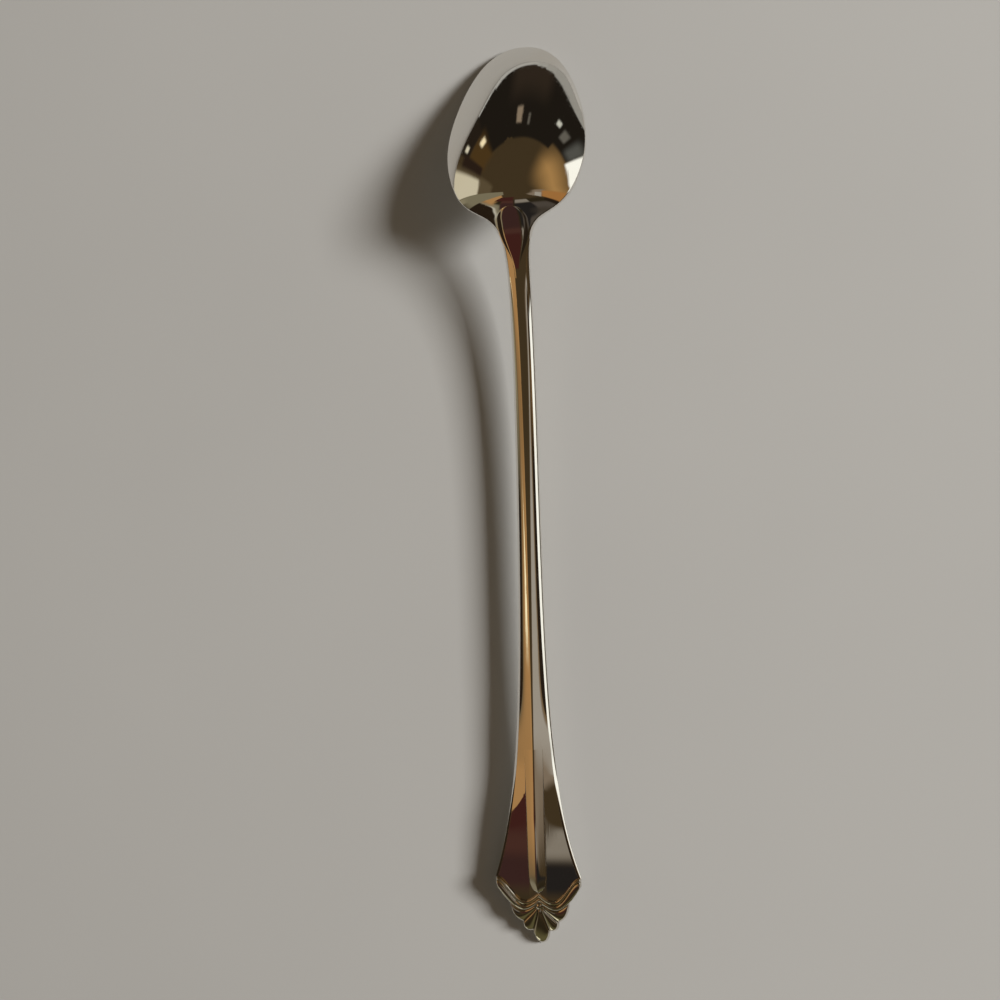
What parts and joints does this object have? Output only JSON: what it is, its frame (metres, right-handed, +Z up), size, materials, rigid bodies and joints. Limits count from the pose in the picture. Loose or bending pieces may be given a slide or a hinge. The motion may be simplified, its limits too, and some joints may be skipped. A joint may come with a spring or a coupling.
{
  "type": "iced tea spoon",
  "caption": "Long-handled spoon for tall glasses, with an egg-shaped bowl, a ridged slender stem and a flared handle that ends in a scrolled shell ornament.",
  "frame": {"origin": "centre of the footprint on the table, with the spoon lying face down on the tip of its bowl and the end of its handle", "axes": "+Y along the spoon towards the tip of the bowl, +X across it, +Z up from the table, out of the back of the spoon"},
  "size_m": [0.0294, 0.1906, 0.0179],
  "materials": {
    "polished_metal": "mirror polished silver-coloured metal with fine wear scratches",
    "relief_metal": "polished silver-coloured metal, a little darker in the valleys of the relief"
  },
  "bodies": {
    "root": {"bowl": "polished_metal", "neck": "polished_metal", "heel_drop": "polished_metal", "stem": "polished_metal", "handle_panel": "polished_metal", "spine_rib": "polished_metal", "upper_roll_left": "relief_metal", "upper_roll_right": "relief_metal", "lower_roll_left": "relief_metal", "lower_roll_right": "relief_metal", "petal_left": "relief_metal", "petal_right": "relief_metal", "side_lobe_left": "relief_metal", "side_lobe_right": "relief_metal", "centre_lobe": "relief_metal", "root_bead": "relief_metal"}
  },
  "joints": []
}
